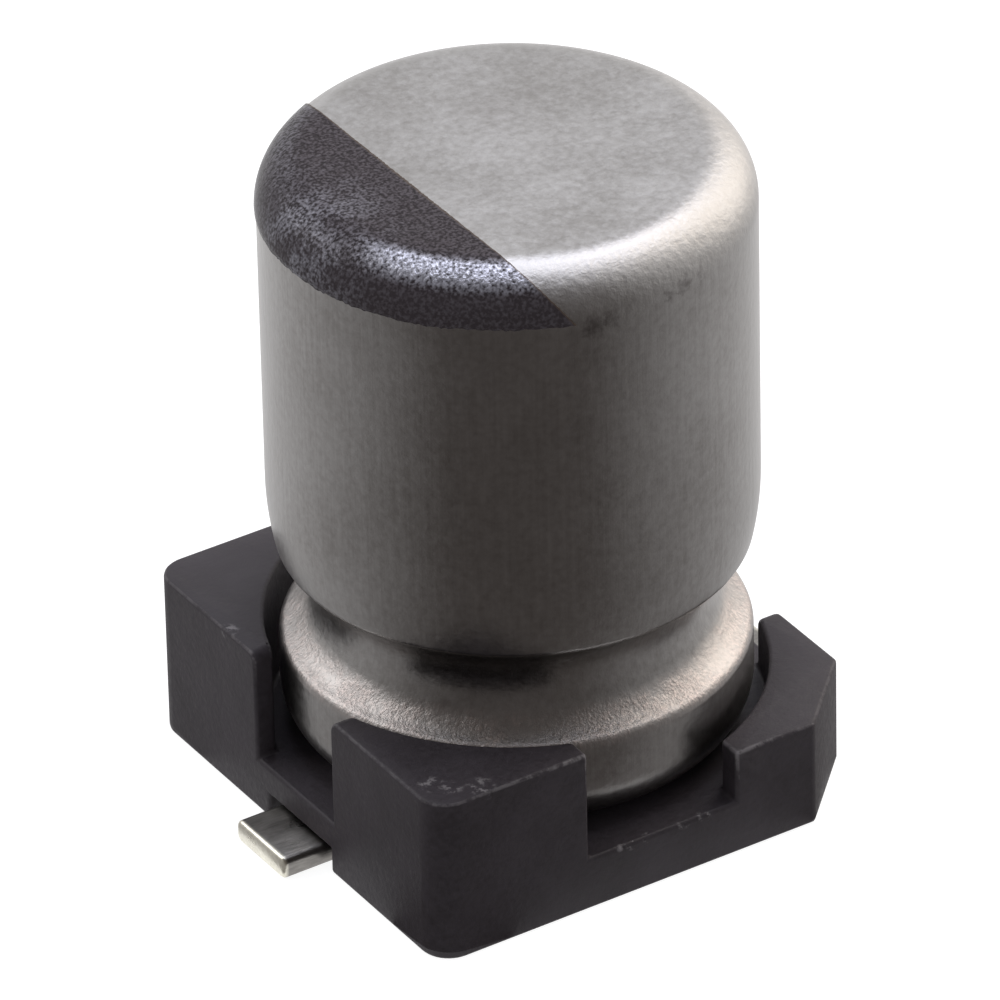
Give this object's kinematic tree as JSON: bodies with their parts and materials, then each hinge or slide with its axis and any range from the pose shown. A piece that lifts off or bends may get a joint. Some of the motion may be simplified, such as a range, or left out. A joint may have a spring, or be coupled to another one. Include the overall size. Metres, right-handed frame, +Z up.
{
  "type": "surface mount aluminium electrolytic capacitor",
  "caption": "Upright surface mount electrolytic capacitor: round aluminium can with a rolled groove and inked polarity field, on a square moulded base with flat feet.",
  "frame": {"origin": "centre of the underside, on the board plane under the can's axis", "axes": "+Z up along the can's axis; the inked, negative side faces -X and the positive side, with the two cut corners, faces +X"},
  "size_m": [0.005, 0.0044, 0.0058],
  "materials": {
    "moulded_base": "moulded, satin, pale wear along the edges",
    "drawn_can": "drawn, satin, fine streaks along the axis",
    "ink": "printed ink with a coarse grain",
    "bung_rubber": "moulded",
    "etched_foil": "etched, matt",
    "plain_foil": "rolled",
    "separator_paper": "soaked kraft paper",
    "tape": "polymer film",
    "tab_metal": "cold formed",
    "tinned_lead": "bright tin plate"
  },
  "bodies": {
    "root": {"base_plate": "moulded_base", "can": "drawn_can", "polarity_mark": "ink", "sealing_bung": "bung_rubber", "anode_foil": "etched_foil", "cathode_foil": "plain_foil", "inner_paper": "separator_paper", "outer_paper": "separator_paper", "closing_tape": "tape", "anode_tab": "tab_metal", "cathode_tab": "tab_metal", "positive_terminal": "tinned_lead", "negative_terminal": "tinned_lead"}
  },
  "joints": []
}
